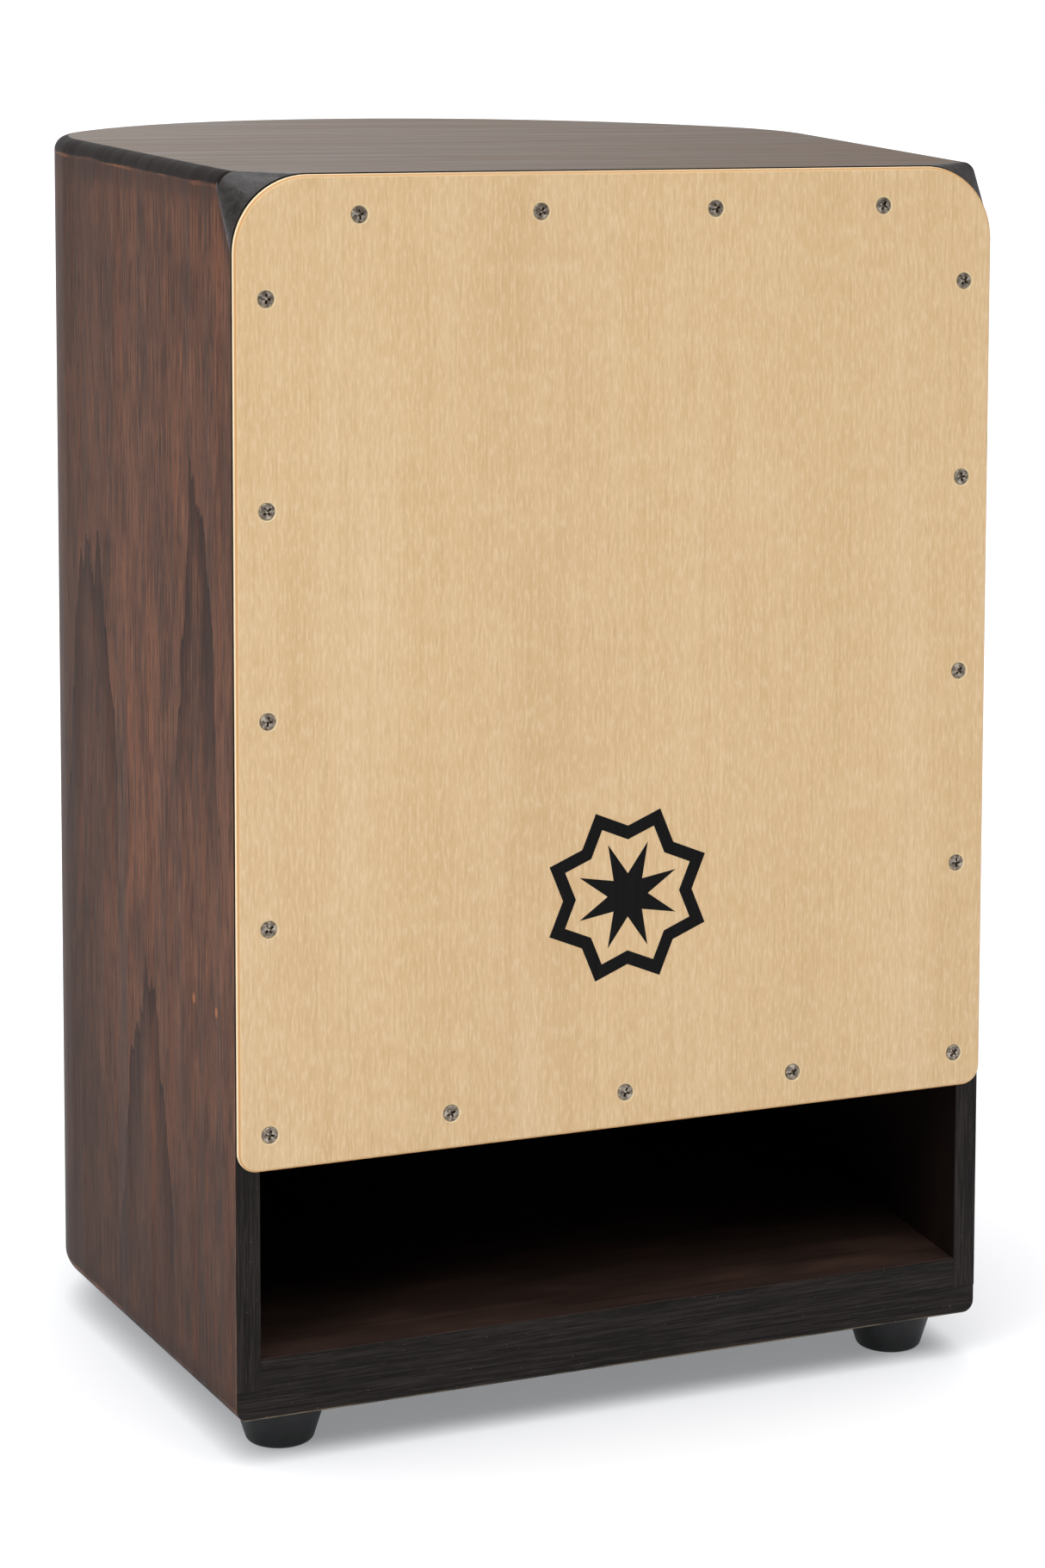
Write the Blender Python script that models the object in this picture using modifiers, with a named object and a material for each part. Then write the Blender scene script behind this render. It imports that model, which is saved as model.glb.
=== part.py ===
"""A round-backed bass cajon with a slot port across the foot of its front.

Frame: metres, +Z up, the player's striking face towards -Y. The origin is on the floor, under the
middle of the object's width and depth. The instrument rests on four rubber feet.
"""

import math

import bmesh
import bpy
from mathutils import Matrix, Vector

MM = 0.001
GAP = 0.3 * MM  # glue line or clearance between neighbouring pieces

# Plan of the box: flat flared sides, rounded rear corners and a bowed back.
FRONT_WIDTH = 328.1 * MM
DEPTH = 320 * MM  # striking face to the crown of the bowed back
SIDE_FLARE = math.radians(4.1)
CORNER_RADIUS = 76 * MM
BACK_RADIUS = 206.5 * MM
WALL = 10 * MM

# Heights. The seat falls towards the player.
FOOT_HEIGHT = 19 * MM
BOX_FRONT_HEIGHT = 486.8 * MM  # underside of the box to the seat's front edge
SEAT_SLOPE = math.tan(math.radians(2.53))
SEAT_THICKNESS = 10 * MM
BOTTOM_THICKNESS = 12 * MM
FLOOR_THICKNESS = 12 * MM
SEAT_ROUNDING = 9 * MM
BOTTOM_ROUNDING = 8 * MM

# The bevel that blends the box's upper front corners into the front panel's round corners.
BLEND_RADIUS_FRONT = 30 * MM
BLEND_RADIUS_REAR = 6 * MM
BLEND_DEPTH = 14 * MM

# Front playing panel.
PANEL_THICKNESS = 3 * MM
PANEL_WIDTH = 327.3 * MM
PANEL_LOW = 100.1 * MM  # above the underside of the box
PANEL_HIGH = 486.3 * MM
PANEL_TOP_RADIUS = 30 * MM
PANEL_LOWER_RADIUS = 8 * MM

# Port and frame behind the panel.
SHELF_THICKNESS = 12 * MM
SHELF_DEPTH = 225 * MM
BATTEN = 18 * MM
TOP_BATTEN_HEIGHT = 15 * MM

# Panel screws.
SCREW_PITCH_X = 75.45 * MM
SCREW_PITCH_Z = 81.15 * MM
SCREW_ROWS = 5
LOWEST_SCREW = 114.7 * MM  # above the underside of the box
TOP_ROW_SCREW = 470.8 * MM
SCREW_LENGTH = 16 * MM
SCREW_HEAD_RADIUS = 3.15 * MM
SCREW_SHANK_RADIUS = 1.6 * MM
SCREW_HEAD_RIM = 0.15 * MM
SCREW_SINK = 0.1 * MM  # head's face below the panel's face
COUNTERSINK_RADIUS = SCREW_HEAD_RADIUS + SCREW_HEAD_RIM + SCREW_SINK + 1.5 * GAP
SCREW_RECESS_DEPTH = 1.5 * MM
SCREW_RECESS_SPAN = 3.6 * MM
SCREW_RECESS_WIDTH = 0.8 * MM
SCREW_TURN_STEP = math.radians(37)

# Feet.
FRONT_FOOT = (137.5 * MM, 30 * MM)  # across from the centre, back from the striking face
REAR_FOOT = (112 * MM, 254 * MM)
FOOT_TOP_RADIUS = 17 * MM
FOOT_BASE_RADIUS = 14.5 * MM
FOOT_EDGE_ROUNDING = 1.5 * MM
FOOT_POCKET_RADIUS = 6.5 * MM
FOOT_POCKET_DEPTH = 10 * MM
FOOT_BORE_RADIUS = 2.6 * MM
WASHER_RADIUS = 6 * MM
WASHER_THICKNESS = 1.5 * MM
FOOT_SCREW_RADIUS = 2.0 * MM
FOOT_SCREW_HEAD_RADIUS = 4.0 * MM
FOOT_SCREW_HEAD_HEIGHT = 2.6 * MM
FOOT_SCREW_GRIP = 18 * MM  # length that goes into the bottom and floor boards

# Derived places.
FACE_Y = -DEPTH / 2
BOX_FRONT_Y = FACE_Y + PANEL_THICKNESS + GAP
BOX_BOTTOM = FOOT_HEIGHT
SHELL_LOW = BOX_BOTTOM + BOTTOM_THICKNESS + GAP
FLOOR_TOP = SHELL_LOW + FLOOR_THICKNESS
SHELF_LOW = BOX_BOTTOM + LOWEST_SCREW - SHELF_THICKNESS / 2
SHELF_HIGH = SHELF_LOW + SHELF_THICKNESS
INNER = WALL + GAP  # inset from the outer plan to a board fitted inside the wall

WOOD_DARK = (0.040, 0.020, 0.015)
WOOD_INNER = (0.022, 0.012, 0.009)
BIRCH = (0.76, 0.55, 0.30)
PINE = (0.62, 0.42, 0.22)
RUBBER = (0.012, 0.012, 0.013)
STEEL = (0.50, 0.48, 0.44)


def clear_scene():
    for obj in list(bpy.data.objects):
        bpy.data.objects.remove(obj, do_unlink=True)


def new_collection(name):
    collection = bpy.data.collections.new(name)
    bpy.context.scene.collection.children.link(collection)
    return collection


def principled(name, colour, roughness, metallic=0.0):
    material = bpy.data.materials.new(name)
    material.use_nodes = True
    shader = material.node_tree.nodes["Principled BSDF"]
    shader.inputs["Base Color"].default_value = (*colour, 1.0)
    shader.inputs["Roughness"].default_value = roughness
    shader.inputs["Metallic"].default_value = metallic
    return material


# ---------------------------------------------------------------- plan outline


def rear_corner_centre():
    """Centre of the right rear corner arc, which touches the flared side and the bowed back."""
    along = Vector((math.sin(SIDE_FLARE), math.cos(SIDE_FLARE)))
    inward = Vector((-math.cos(SIDE_FLARE), math.sin(SIDE_FLARE)))
    start = Vector((FRONT_WIDTH / 2, BOX_FRONT_Y)) + CORNER_RADIUS * inward
    back_centre = Vector((0.0, DEPTH / 2 - BACK_RADIUS))
    offset = start - back_centre
    half_b = offset.dot(along)
    c = offset.dot(offset) - (BACK_RADIUS - CORNER_RADIUS) ** 2
    return start + (-half_b + math.sqrt(half_b**2 - c)) * along


def arc(centre, radius, start, end, steps):
    """Points on an arc, both ends included."""
    angles = [start + (end - start) * i / steps for i in range(steps + 1)]
    across, along = centre
    return [Vector((across + radius * math.cos(a), along + radius * math.sin(a))) for a in angles]


def side_x(y, inset=0.0):
    """Half width of the flared side at depth y."""
    return FRONT_WIDTH / 2 + (y - BOX_FRONT_Y) * math.tan(SIDE_FLARE) - inset / math.cos(SIDE_FLARE)


def half_outline(inset, front_y, corner_steps=9, back_steps=9):
    """Right half of the plan from the front edge round to the middle of the back."""
    centre = rear_corner_centre()
    back_centre = Vector((0.0, DEPTH / 2 - BACK_RADIUS))
    join = math.atan2(*(centre - back_centre).yx)
    points = [Vector((side_x(front_y, inset), front_y))]
    points += arc(centre, CORNER_RADIUS - inset, -SIDE_FLARE, join, corner_steps)
    points += arc(back_centre, BACK_RADIUS - inset, join, math.pi / 2, back_steps)[1:]
    return points


def plan_outline(inset=0.0, front_y=BOX_FRONT_Y):
    """Closed plan, counter-clockwise, starting at the right front corner."""
    right = half_outline(inset, front_y)
    left = [Vector((-p.x, p.y)) for p in reversed(right[:-1])]
    return right + left


# ---------------------------------------------------------------- shape helpers


def link(obj, collection, material=None):
    collection.objects.link(obj)
    if material:
        obj.data.materials.clear()
        obj.data.materials.append(material)
    return obj


def evaluated_mesh(obj):
    """A free-standing copy of an object's mesh with its curve or modifiers evaluated."""
    bpy.context.view_layer.update()
    return bpy.data.meshes.new_from_object(obj.evaluated_get(bpy.context.evaluated_depsgraph_get()))


def board(name, outline, thickness):
    """A flat board lying in XY, centred on z = 0: a filled 2D curve turned into a clean mesh."""
    curve = bpy.data.curves.new(name, "CURVE")
    curve.dimensions = "2D"
    curve.fill_mode = "BOTH"
    curve.extrude = thickness / 2
    spline = curve.splines.new("POLY")
    spline.points.add(len(outline) - 1)
    for point, place in zip(spline.points, outline):
        point.co = (place[0], place[1], 0.0, 1.0)
    spline.use_cyclic_u = True
    source = bpy.data.objects.new(name + "_curve", curve)
    bpy.context.scene.collection.objects.link(source)
    mesh = evaluated_mesh(source)
    bpy.data.objects.remove(source)
    work = bmesh.new()
    work.from_mesh(mesh)
    bmesh.ops.remove_doubles(work, verts=work.verts, dist=1e-6)
    bmesh.ops.dissolve_limit(
        work, angle_limit=math.radians(0.1), verts=work.verts, edges=work.edges
    )
    bmesh.ops.recalc_face_normals(work, faces=work.faces)
    work.to_mesh(mesh)
    work.free()
    mesh.name = name
    return bpy.data.objects.new(name, mesh)


def set_levels(obj, low, high, slope_low=0.0, slope_high=0.0):
    """Puts a board's two faces at the heights low and high, which may rise towards the back."""
    for vertex in obj.data.vertices:
        rise = vertex.co.y - FACE_Y
        if vertex.co.z > 0:
            vertex.co.z = high + slope_high * rise
        else:
            vertex.co.z = low + slope_low * rise
    return obj


def round_edges(obj, chosen, width, segments):
    """A Bevel modifier on the edges for which chosen(edge ends) is true."""
    layer = obj.data.attributes.new("bevel_weight_edge", "FLOAT", "EDGE")
    for edge in obj.data.edges:
        ends = [obj.data.vertices[i].co for i in edge.vertices]
        layer.data[edge.index].value = 1.0 if chosen(*ends) else 0.0
    modifier = obj.modifiers.new("round_edges", "BEVEL")
    modifier.limit_method = "WEIGHT"
    modifier.width = width
    modifier.segments = segments
    return obj


def turned(name, profile, steps, closed=False):
    """A turned piece about Z: a profile of (radius, height) at +X with a Screw modifier."""
    mesh = bpy.data.meshes.new(name)
    count = len(profile)
    edges = [(i, (i + 1) % count) for i in range(count if closed else count - 1)]
    mesh.from_pydata([(r, 0.0, z) for r, z in profile], edges, [])
    obj = bpy.data.objects.new(name, mesh)
    modifier = obj.modifiers.new("turn", "SCREW")
    modifier.steps = modifier.render_steps = steps
    modifier.use_merge_vertices = True
    modifier.merge_threshold = 1e-5
    return obj


def settled(obj, collection, smooth_degrees=35):
    """Replaces an object by one whose modifiers are applied, shaded smooth except at its sharp edges."""
    name = obj.name
    if not obj.users_collection:
        bpy.context.scene.collection.objects.link(obj)
    mesh = evaluated_mesh(obj)
    matrix = obj.matrix_world.copy()
    bpy.data.objects.remove(obj)
    mesh.name = name
    mesh.shade_smooth()
    mesh.set_sharp_from_angle(angle=math.radians(smooth_degrees))
    made = bpy.data.objects.new(name, mesh)
    made.matrix_world = matrix
    return link(made, collection)


def cut(obj, cutters, cutter_collection):
    """One Boolean difference by all of an object's cutters, which stay as hidden wire objects."""
    group = bpy.data.collections.new("cut_" + obj.name)
    cutter_collection.children.link(group)
    for cutter in cutters:
        group.objects.link(cutter)
        cutter.hide_render = True
        cutter.display_type = "WIRE"
    modifier = obj.modifiers.new("cut", "BOOLEAN")
    modifier.operation = "DIFFERENCE"
    modifier.solver = "EXACT"
    modifier.operand_type = "COLLECTION"
    modifier.collection = group
    return obj


def drill(name, radius, start, end, steps=16):
    """A cylindrical cutter between two points."""
    mesh = bpy.data.meshes.new(name)
    work = bmesh.new()
    length = (end - start).length
    bmesh.ops.create_cone(
        work, cap_ends=True, segments=steps, radius1=radius, radius2=radius, depth=length
    )
    work.to_mesh(mesh)
    work.free()
    obj = bpy.data.objects.new(name, mesh)
    obj.matrix_world = Matrix.Translation((start + end) / 2) @ (
        (end - start).to_track_quat("Z", "Y").to_matrix().to_4x4()
    )
    return obj


# ---------------------------------------------------------------- places


def seat_height(y):
    """Height of the seat's upper face at depth y."""
    return BOX_BOTTOM + BOX_FRONT_HEIGHT + SEAT_SLOPE * (y - FACE_Y)


def panel_screw_places():
    """(name, x, z) of each panel screw, column by column and then the top and bottom rows."""
    places = []
    for side, sign in (("left", -1), ("right", 1)):
        for row in range(SCREW_ROWS):
            z = BOX_BOTTOM + LOWEST_SCREW + row * SCREW_PITCH_Z
            places.append((f"panel_screw_{side}_{row + 1}", sign * 2 * SCREW_PITCH_X, z))
    for i, step in enumerate((-1.5, -0.5, 0.5, 1.5)):
        places.append((f"panel_screw_top_{i + 1}", step * SCREW_PITCH_X, BOX_BOTTOM + TOP_ROW_SCREW))
    for i, step in enumerate((-1, 0, 1)):
        places.append((f"panel_screw_bottom_{i + 1}", step * SCREW_PITCH_X, BOX_BOTTOM + LOWEST_SCREW))
    return places


def foot_places():
    """(name, x, y) of each foot's axis."""
    places = []
    for end, (across, back) in (("front", FRONT_FOOT), ("rear", REAR_FOOT)):
        for side, sign in (("left", -1), ("right", 1)):
            places.append((f"{end}_{side}", sign * across, FACE_Y + back))
    return places


# ---------------------------------------------------------------- cutters


def corner_blend(name, sign):
    """Cutter for one upper front corner: the corner's radius shrinks from the front face backwards.

    Each section is the space outside a corner arc, and the sections are lofted together.
    """
    overshoot = 6 * MM
    margin = 20 * MM
    stations = [-overshoot / BLEND_DEPTH, 0.0, 0.2, 0.4, 0.6, 0.8, 1.0]
    arc_steps = 8
    work = bmesh.new()
    rings = []
    for share in stations:
        y = BOX_FRONT_Y + share * BLEND_DEPTH
        eased = max(share, 0.0)
        radius = BLEND_RADIUS_FRONT + (BLEND_RADIUS_REAR - BLEND_RADIUS_FRONT) * eased
        right, top = side_x(y), seat_height(y)
        section = [(right - radius, top + margin)]
        section += arc((right - radius, top - radius), radius, math.pi / 2, 0.0, arc_steps)
        section += [(right + margin, top - radius), (right + margin, top + margin)]
        rings.append([work.verts.new((sign * x, y, z)) for x, z in section])
    for ring, following in zip(rings, rings[1:]):
        count = len(ring)
        for i in range(count):
            j = (i + 1) % count
            work.faces.new((ring[i], ring[j], following[j], following[i]))
    work.faces.new(rings[0])
    work.faces.new(rings[-1])
    bmesh.ops.recalc_face_normals(work, faces=work.faces)
    mesh = bpy.data.meshes.new(name)
    work.to_mesh(mesh)
    work.free()
    return bpy.data.objects.new(name, mesh)


def countersink(name, x, z):
    """Cutter for a countersunk hole through the front panel."""
    clear = 1 * MM
    bore = SCREW_SHANK_RADIUS + GAP
    profile = [
        (0.0, clear),
        (COUNTERSINK_RADIUS + clear, clear),
        (bore, bore - COUNTERSINK_RADIUS),
        (bore, -PANEL_THICKNESS - clear),
        (0.0, -PANEL_THICKNESS - clear),
    ]
    cutter = turned(name, profile, 20)
    cutter.matrix_world = facing_player(x, FACE_Y, z)
    return cutter


def facing_player(x, y, z, turn=0.0):
    """Matrix that stands a turned piece with its +Z towards the player."""
    upright = Matrix.Rotation(math.radians(90), 4, "X")
    return Matrix.Translation((x, y, z)) @ upright @ Matrix.Rotation(turn, 4, "Z")


# ---------------------------------------------------------------- box


def make_seat(parts, cutters, blends, material):
    """Seat board with its top edge rounded along the sides and the back."""
    seat = board("seat_board", plan_outline(), SEAT_THICKNESS)
    low = BOX_BOTTOM + BOX_FRONT_HEIGHT - SEAT_THICKNESS
    set_levels(seat, low, low + SEAT_THICKNESS, SEAT_SLOPE, SEAT_SLOPE)

    def on_top_rim(a, b):
        behind_front = max(a.y, b.y) > BOX_FRONT_Y + 1 * MM
        return behind_front and all(p.z > seat_height(p.y) - 1 * MM for p in (a, b))

    round_edges(seat, on_top_rim, SEAT_ROUNDING, 5)
    cut(seat, blends, cutters)
    settled(seat, parts).data.materials.append(material)


def make_shell(parts, cutters, blends, material):
    """Both sides and the bowed back, bent from one sheet of plywood."""
    outer = plan_outline()
    inner = plan_outline(WALL)
    outline = outer + list(reversed(inner))
    shell = board("bent_shell", outline, WALL)
    high = BOX_BOTTOM + BOX_FRONT_HEIGHT - SEAT_THICKNESS - GAP
    set_levels(shell, SHELL_LOW, high, 0.0, SEAT_SLOPE)
    cut(shell, blends, cutters)
    settled(shell, parts).data.materials.append(material)


def make_bottom(parts, cutters, bores, material):
    """Bottom board under the shell, rounded along its lower edge."""
    bottom = board("bottom_board", plan_outline(), BOTTOM_THICKNESS)
    set_levels(bottom, BOX_BOTTOM, BOX_BOTTOM + BOTTOM_THICKNESS)

    def on_lower_rim(a, b):
        behind_front = max(a.y, b.y) > BOX_FRONT_Y + 1 * MM
        return behind_front and all(p.z < BOX_BOTTOM + 1 * MM for p in (a, b))

    round_edges(bottom, on_lower_rim, BOTTOM_ROUNDING, 5)
    cut(bottom, bores, cutters)
    settled(bottom, parts).data.materials.append(material)


def make_floor(parts, cutters, bores, material):
    """Floor board inside the shell, whose front edge is the sill of the port."""
    floor = board("port_floor", plan_outline(INNER), FLOOR_THICKNESS)
    set_levels(floor, SHELL_LOW, FLOOR_TOP)
    cut(floor, bores, cutters)
    settled(floor, parts).data.materials.append(material)


def make_shelf(parts, cutters, pilots, material):
    """Shelf that roofs the port duct and stops short of the back, so the duct opens into the box."""
    rear_y = BOX_FRONT_Y + SHELF_DEPTH
    corner = rear_corner_centre()
    radius = CORNER_RADIUS - INNER
    right = [Vector((side_x(BOX_FRONT_Y, INNER), BOX_FRONT_Y))]
    right += arc(corner, radius, -SIDE_FLARE, math.asin((rear_y - corner.y) / radius), 4)
    outline = right + [Vector((-p.x, p.y)) for p in reversed(right)]
    shelf = board("port_shelf", outline, SHELF_THICKNESS)
    set_levels(shelf, SHELF_LOW, SHELF_HIGH)
    cut(shelf, pilots, cutters)
    settled(shelf, parts).data.materials.append(material)


def make_side_batten(side, sign, parts, cutters, pilots, material):
    """Upright glued inside the flared wall, which the panel's side screws bite into."""
    rear_y = BOX_FRONT_Y + BATTEN
    inner_x = side_x(BOX_FRONT_Y, INNER) - BATTEN
    outline = [
        (sign * inner_x, BOX_FRONT_Y),
        (sign * side_x(BOX_FRONT_Y, INNER), BOX_FRONT_Y),
        (sign * side_x(rear_y, INNER), rear_y),
        (sign * inner_x, rear_y),
    ]
    batten = board(f"batten_{side}", outline, BATTEN)
    high = BOX_BOTTOM + BOX_FRONT_HEIGHT - SEAT_THICKNESS - GAP
    set_levels(batten, SHELF_HIGH + GAP, high, 0.0, SEAT_SLOPE)
    cut(batten, pilots, cutters)
    settled(batten, parts).data.materials.append(material)


def make_top_batten(parts, cutters, pilots, material):
    """Rail under the seat's front edge, between the two uprights."""
    half = side_x(BOX_FRONT_Y, INNER) - BATTEN - GAP
    rear_y = BOX_FRONT_Y + BATTEN
    outline = [(-half, BOX_FRONT_Y), (half, BOX_FRONT_Y), (half, rear_y), (-half, rear_y)]
    rail = board("batten_top", outline, BATTEN)
    high = BOX_BOTTOM + BOX_FRONT_HEIGHT - SEAT_THICKNESS - GAP
    set_levels(rail, high - TOP_BATTEN_HEIGHT, high, 0.0, SEAT_SLOPE)
    cut(rail, pilots, cutters)
    settled(rail, parts).data.materials.append(material)


# ---------------------------------------------------------------- front panel and its screws


def panel_outline():
    """Front panel seen from the player, as (x, height), counter-clockwise from the lower right."""
    half = PANEL_WIDTH / 2
    low, high = BOX_BOTTOM + PANEL_LOW, BOX_BOTTOM + PANEL_HIGH
    small, large = PANEL_LOWER_RADIUS, PANEL_TOP_RADIUS
    right_angle = math.pi / 2
    outline = arc((half - small, low + small), small, -right_angle, 0.0, 5)
    outline += arc((half - large, high - large), large, 0.0, right_angle, 9)
    outline += arc((large - half, high - large), large, right_angle, 2 * right_angle, 9)
    outline += arc((small - half, low + small), small, 2 * right_angle, 3 * right_angle, 5)
    return outline


def make_panel(parts, cutters, material):
    """Thin playing panel with a countersunk hole for each screw."""
    panel = board("front_panel", panel_outline(), PANEL_THICKNESS)
    panel.data.transform(
        Matrix.Translation((0, FACE_Y + PANEL_THICKNESS / 2, 0)) @ Matrix.Rotation(math.pi / 2, 4, "X")
    )
    holes = [countersink("hole_" + name, x, z) for name, x, z in panel_screw_places()]
    cut(panel, holes, cutters)
    settled(panel, parts).data.materials.append(material)


def recess_blade(name, turn):
    """One of the two tapered blades that cut a screw's cross recess."""
    mesh = bpy.data.meshes.new(name)
    work = bmesh.new()
    bmesh.ops.create_cube(work, size=1.0)
    taper = 0.45
    for vertex in work.verts:
        narrow = taper if vertex.co.z < 0 else 1.0
        vertex.co.x *= SCREW_RECESS_SPAN * narrow
        vertex.co.y *= SCREW_RECESS_WIDTH * narrow
        vertex.co.z *= 2 * SCREW_RECESS_DEPTH
    work.to_mesh(mesh)
    work.free()
    blade = bpy.data.objects.new(name, mesh)
    blade.rotation_euler.z = turn
    return blade


def panel_screw_mesh(cutters):
    """Countersunk wood screw with its head's face at z = 0 and its point downwards."""
    head_depth = SCREW_HEAD_RADIUS - SCREW_SHANK_RADIUS
    point_length = 4 * MM
    profile = [
        (0.0, 0.0),
        (SCREW_HEAD_RADIUS - SCREW_HEAD_RIM, 0.0),
        (SCREW_HEAD_RADIUS, -SCREW_HEAD_RIM),
        (SCREW_SHANK_RADIUS, -head_depth - SCREW_HEAD_RIM),
        (SCREW_SHANK_RADIUS, -SCREW_LENGTH + point_length),
        (0.0, -SCREW_LENGTH),
    ]
    screw = turned("panel_screw", profile, 16)
    blades = [recess_blade(f"recess_blade_{i}", i * math.pi / 2) for i in range(2)]
    cut(screw, blades, cutters)
    made = settled(screw, cutters)
    mesh = made.data
    bpy.data.objects.remove(made)
    return mesh


def make_panel_screws(parts, cutters, material):
    """The screws share one mesh, each stopped at its own angle."""
    mesh = panel_screw_mesh(cutters)
    mesh.materials.append(material)
    for i, (name, x, z) in enumerate(panel_screw_places()):
        screw = bpy.data.objects.new(name, mesh)
        screw.matrix_world = facing_player(x, FACE_Y + SCREW_SINK, z, i * SCREW_TURN_STEP)
        parts.objects.link(screw)


# ---------------------------------------------------------------- feet


def foot_profile():
    """Ring section of a foot, as (radius, height above its own base)."""
    top = FOOT_HEIGHT - GAP
    edge = FOOT_EDGE_ROUNDING
    base = arc((FOOT_BASE_RADIUS - edge, edge), edge, 0.0, -math.pi / 2, 3)
    return [
        (FOOT_BORE_RADIUS, top),
        (FOOT_TOP_RADIUS, top),
        *[tuple(p) for p in base],
        (FOOT_POCKET_RADIUS, 0.0),
        (FOOT_POCKET_RADIUS, FOOT_POCKET_DEPTH),
        (FOOT_BORE_RADIUS, FOOT_POCKET_DEPTH),
    ]


def washer_profile():
    high = FOOT_POCKET_DEPTH - GAP
    low = high - WASHER_THICKNESS
    return [
        (FOOT_BORE_RADIUS, high),
        (WASHER_RADIUS, high),
        (WASHER_RADIUS, low),
        (FOOT_BORE_RADIUS, low),
    ]


def foot_screw_profile():
    """Pan-head screw, head down: from its point, down the shank and over the head."""
    seat = FOOT_POCKET_DEPTH - WASHER_THICKNESS - 2 * GAP
    tip = FOOT_HEIGHT + FOOT_SCREW_GRIP
    point_length = 5 * MM
    crown = 0.8 * MM
    return [
        (0.0, tip),
        (FOOT_SCREW_RADIUS, tip - point_length),
        (FOOT_SCREW_RADIUS, seat),
        (FOOT_SCREW_HEAD_RADIUS, seat),
        (FOOT_SCREW_HEAD_RADIUS, seat - FOOT_SCREW_HEAD_HEIGHT + crown),
        (FOOT_SCREW_HEAD_RADIUS - crown, seat - FOOT_SCREW_HEAD_HEIGHT),
        (0.0, seat - FOOT_SCREW_HEAD_HEIGHT),
    ]


def make_feet(parts, rubber, steel):
    for place, x, y in foot_places():
        pieces = (
            (f"foot_{place}", foot_profile(), 32, True, rubber),
            (f"foot_washer_{place}", washer_profile(), 20, True, steel),
            (f"foot_screw_{place}", foot_screw_profile(), 16, False, steel),
        )
        for name, profile, steps, closed, material in pieces:
            piece = turned(name, profile, steps, closed)
            piece.matrix_world = Matrix.Translation((x, y, 0.0))
            settled(piece, parts).data.materials.append(material)


# ---------------------------------------------------------------- assembly


def pilot_holes():
    """Cutters for the panel screws' shanks, by the name of the screw."""
    clearance = SCREW_SHANK_RADIUS + GAP
    depth = SCREW_LENGTH + 2 * MM
    holes = {}
    for name, x, z in panel_screw_places():
        start = Vector((x, BOX_FRONT_Y - 1 * MM, z))
        holes[name] = drill("pilot_" + name, clearance, start, Vector((x, FACE_Y + depth, z)))
    return holes


def foot_bores():
    """Cutters for the foot screws, blind in the floor board."""
    clearance = FOOT_SCREW_RADIUS + GAP
    bores = []
    for place, x, y in foot_places():
        start = Vector((x, y, BOX_BOTTOM - 1 * MM))
        end = Vector((x, y, FOOT_HEIGHT + FOOT_SCREW_GRIP + 1 * MM))
        bores.append(drill("bore_" + place, clearance, start, end))
    return bores


def main():
    clear_scene()
    parts = new_collection("cajon")
    cutters = new_collection("cutters")
    stained = principled("stained_plywood", WOOD_DARK, 0.42)
    inner = principled("inner_plywood", WOOD_INNER, 0.6)
    birch = principled("birch_panel", BIRCH, 0.45)
    pine = principled("pine_batten", PINE, 0.7)
    rubber = principled("rubber", RUBBER, 0.75)
    steel = principled("screw_steel", STEEL, 0.35, 1.0)

    blends = [corner_blend("blend_left", -1), corner_blend("blend_right", 1)]
    pilots = pilot_holes()
    bores = foot_bores()
    upright = [f"_{row}" for row in range(2, SCREW_ROWS + 1)]

    make_seat(parts, cutters, blends, stained)
    make_shell(parts, cutters, blends, stained)
    make_bottom(parts, cutters, bores, stained)
    make_floor(parts, cutters, bores, inner)
    in_shelf = [cutter for name, cutter in pilots.items() if "bottom" in name or "t_1" in name]
    make_shelf(parts, cutters, in_shelf, inner)
    for side, sign in (("left", -1), ("right", 1)):
        chosen = [pilots[f"panel_screw_{side}{row}"] for row in upright]
        make_side_batten(side, sign, parts, cutters, chosen, pine)
    make_top_batten(parts, cutters, [pilots[f"panel_screw_top_{i}"] for i in range(1, 5)], pine)
    make_panel(parts, cutters, birch)
    make_panel_screws(parts, cutters, steel)
    make_feet(parts, rubber, steel)


main()
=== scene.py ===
import math

import bmesh
import bpy
from mathutils import Euler, Matrix, Vector


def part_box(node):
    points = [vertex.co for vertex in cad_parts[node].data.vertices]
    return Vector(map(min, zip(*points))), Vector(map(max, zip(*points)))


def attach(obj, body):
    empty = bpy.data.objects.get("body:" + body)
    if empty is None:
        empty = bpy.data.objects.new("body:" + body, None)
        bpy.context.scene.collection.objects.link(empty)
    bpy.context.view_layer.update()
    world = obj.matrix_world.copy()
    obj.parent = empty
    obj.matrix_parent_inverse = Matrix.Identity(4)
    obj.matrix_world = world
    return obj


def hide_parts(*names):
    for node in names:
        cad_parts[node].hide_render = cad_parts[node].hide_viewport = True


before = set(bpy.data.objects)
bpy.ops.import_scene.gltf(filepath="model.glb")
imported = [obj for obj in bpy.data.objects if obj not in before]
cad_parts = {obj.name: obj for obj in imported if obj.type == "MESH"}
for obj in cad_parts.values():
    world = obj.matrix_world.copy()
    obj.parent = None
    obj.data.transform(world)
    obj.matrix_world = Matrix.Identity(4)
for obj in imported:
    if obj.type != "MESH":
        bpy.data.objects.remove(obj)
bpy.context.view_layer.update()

MM = 0.001

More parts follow.
